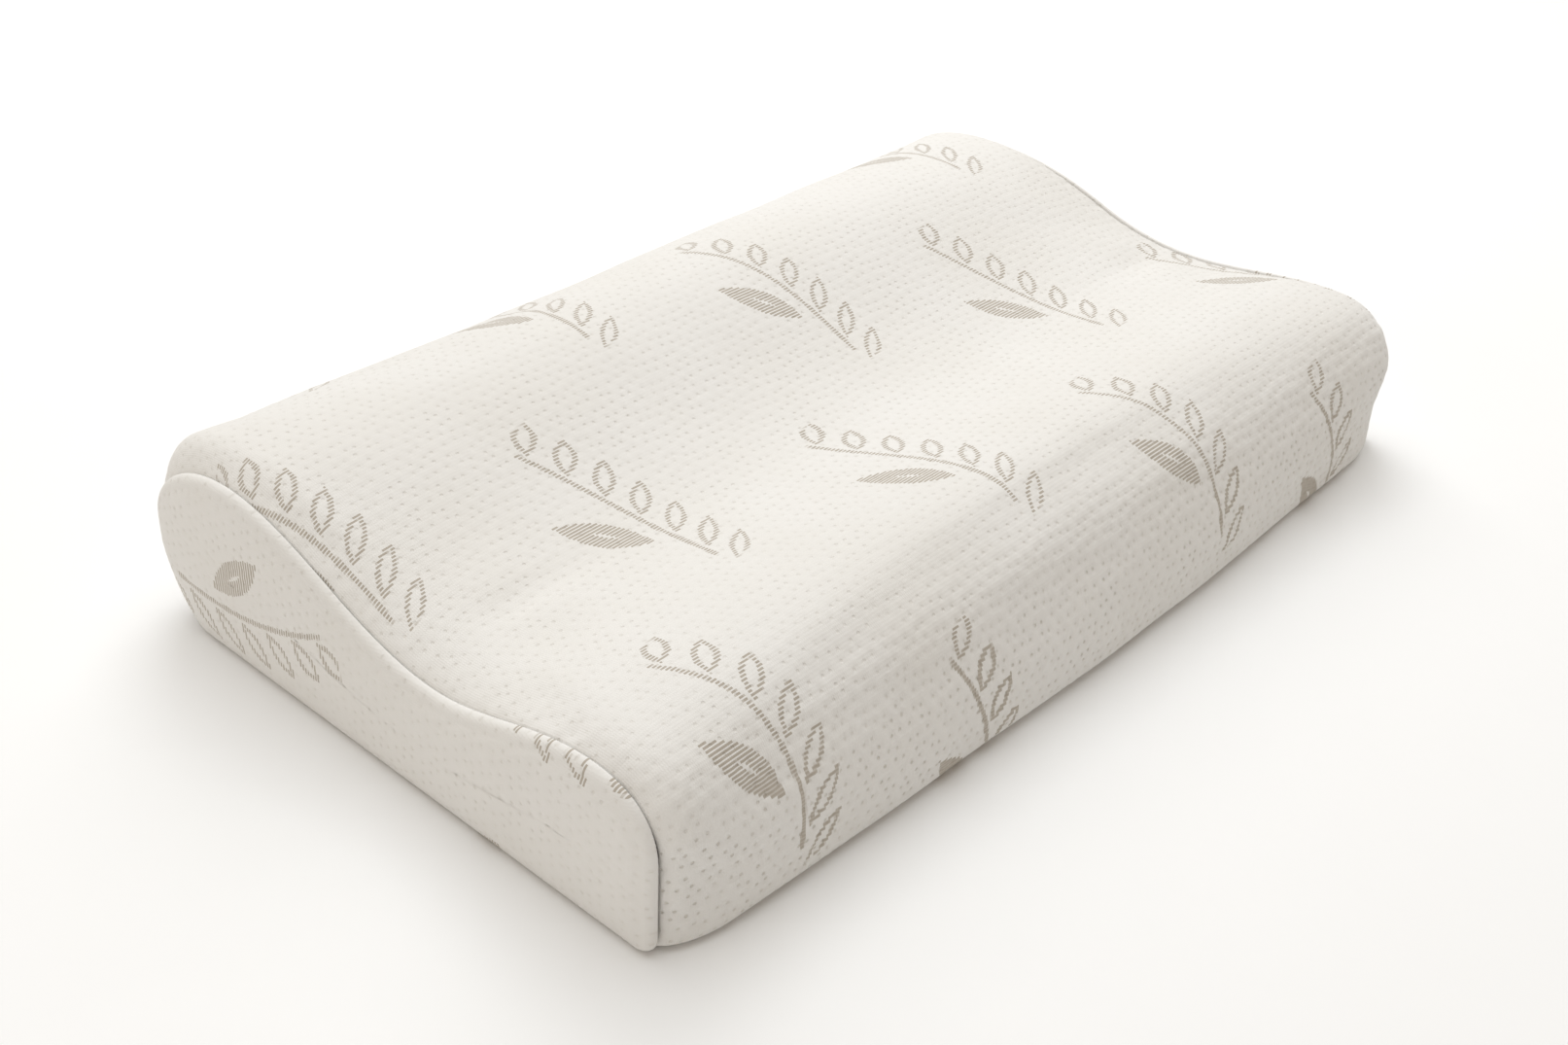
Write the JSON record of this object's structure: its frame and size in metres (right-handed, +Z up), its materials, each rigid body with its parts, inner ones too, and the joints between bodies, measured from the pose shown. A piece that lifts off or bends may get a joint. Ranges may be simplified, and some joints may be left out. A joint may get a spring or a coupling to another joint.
{
  "type": "bed pillow",
  "caption": "Contour foam bed pillow with a low and a high lobe, in an inner liner and a zipped, removable cover of thick dimpled knit.",
  "frame": {"origin": "centre of the underside, on the surface the pillow lies on", "axes": "+X along the pillow, +Y from the low lobe to the high lobe, +Z up"},
  "size_m": [0.6008, 0.3619, 0.1075],
  "materials": {
    "foam": "open-cell foam, matte",
    "liner_cloth": "thin stockinette, matte",
    "cover_knit": "thick dimpled double knit, matte",
    "overlock_thread": "spun thread, matte",
    "zip_tape": "woven tape, matte",
    "zip_coil": "smooth nylon",
    "topstitch_thread": "spun thread, slight sheen",
    "zip_metal": "nickel plated, satin",
    "satin": "blank woven satin ribbon"
  },
  "bodies": {
    "pillow": {"foam_core": "foam", "liner_sleeve": "liner_cloth", "liner_end_left": "liner_cloth", "liner_end_right": "liner_cloth", "liner_overlock_left": "overlock_thread", "liner_overlock_right": "overlock_thread", "cover_wrap": "cover_knit", "cover_end_left": "cover_knit", "cover_end_right": "cover_knit", "cover_overlock_left": "overlock_thread", "cover_overlock_right": "overlock_thread", "zip_tape_upper": "zip_tape", "zip_tape_lower": "zip_tape", "zip_coil_upper": "zip_coil", "zip_coil_lower": "zip_coil", "zip_top_stops": "zip_metal", "zip_bottom_stop": "zip_metal", "zip_topstitch_upper": "topstitch_thread", "zip_topstitch_lower": "topstitch_thread", "zip_bartacks": "topstitch_thread"},
    "slider": {"zip_slider": "zip_metal"},
    "pull": {"zip_pull": "zip_metal"},
    "label": {"care_label": "satin"}
  },
  "joints": [
    {"name": "zip_slide", "type": "slide", "parent": "pillow", "child": "slider", "axis": [1, 0, 0], "range_m": [-0.48, 0]},
    {"name": "pull_turn", "type": "hinge", "parent": "slider", "child": "pull", "pos_m": [0.245, 0.1809, 0.049], "axis": [0, 0, -1], "range_deg": [0, 180]},
    {"name": "label_flap", "type": "hinge", "parent": "pillow", "child": "label", "pos_m": [0.3005, 0.168, 0.049], "axis": [0, 0, 1], "range_deg": [0, 160]}
  ]
}
